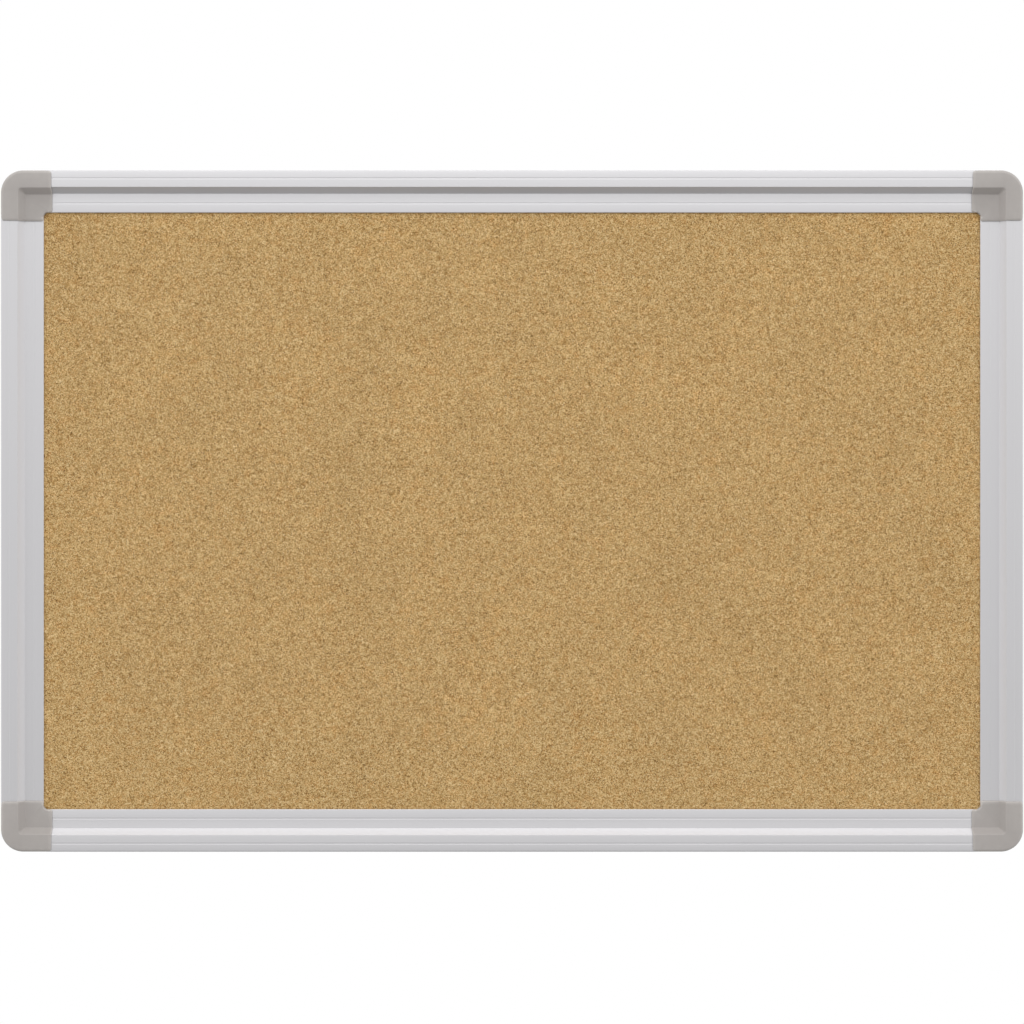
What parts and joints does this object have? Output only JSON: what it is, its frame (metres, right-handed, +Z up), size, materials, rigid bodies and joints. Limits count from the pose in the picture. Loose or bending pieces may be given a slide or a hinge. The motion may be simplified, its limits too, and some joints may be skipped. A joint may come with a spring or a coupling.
{
  "type": "cork bulletin board",
  "caption": "Wall-hung cork bulletin board in a stepped aluminium frame with moulded corner caps and sliding keyhole hangers behind.",
  "frame": {"origin": "middle of the flat strip on the back of the top rail, which rests on the wall", "axes": "+X to the viewer's right, +Z up, -Y out of the cork towards the viewer; the wall plane is Y = 0"},
  "size_m": [0.6, 0.0192, 0.4],
  "materials": {
    "cork": "matte",
    "fibreboard": "matte",
    "backing_paper": "matte",
    "aluminium": "satin",
    "cap_plastic": "satin",
    "zinc_plate": "satin"
  },
  "bodies": {
    "board": {"cork_sheet": "cork", "core_board": "fibreboard", "backing_sheet": "backing_paper", "frame_bottom_rail": "aluminium", "frame_right_rail": "aluminium", "frame_top_rail": "aluminium", "frame_left_rail": "aluminium", "corner_cap_bottom_left": "cap_plastic", "corner_cap_bottom_right": "cap_plastic", "corner_cap_top_right": "cap_plastic", "corner_cap_top_left": "cap_plastic", "screw_bottom_1": "zinc_plate", "screw_bottom_2": "zinc_plate", "screw_right_1": "zinc_plate", "screw_right_2": "zinc_plate", "screw_top_1": "zinc_plate", "screw_top_2": "zinc_plate", "screw_left_1": "zinc_plate", "screw_left_2": "zinc_plate"},
    "hanger_top_left_body": {"hanger_top_left": "zinc_plate"},
    "hanger_top_right_body": {"hanger_top_right": "zinc_plate"},
    "hanger_bottom_left_body": {"hanger_bottom_left": "zinc_plate"},
    "hanger_bottom_right_body": {"hanger_bottom_right": "zinc_plate"}
  },
  "joints": [
    {"name": "top_left_hanger_slide", "type": "slide", "parent": "board", "child": "hanger_top_left_body", "axis": [1, 0, 0], "range_m": [-0.047, 0.184]},
    {"name": "top_right_hanger_slide", "type": "slide", "parent": "board", "child": "hanger_top_right_body", "axis": [1, 0, 0], "range_m": [-0.184, 0.047]},
    {"name": "bottom_left_hanger_slide", "type": "slide", "parent": "board", "child": "hanger_bottom_left_body", "axis": [1, 0, 0], "range_m": [-0.047, 0.184]},
    {"name": "bottom_right_hanger_slide", "type": "slide", "parent": "board", "child": "hanger_bottom_right_body", "axis": [1, 0, 0], "range_m": [-0.184, 0.047]}
  ]
}
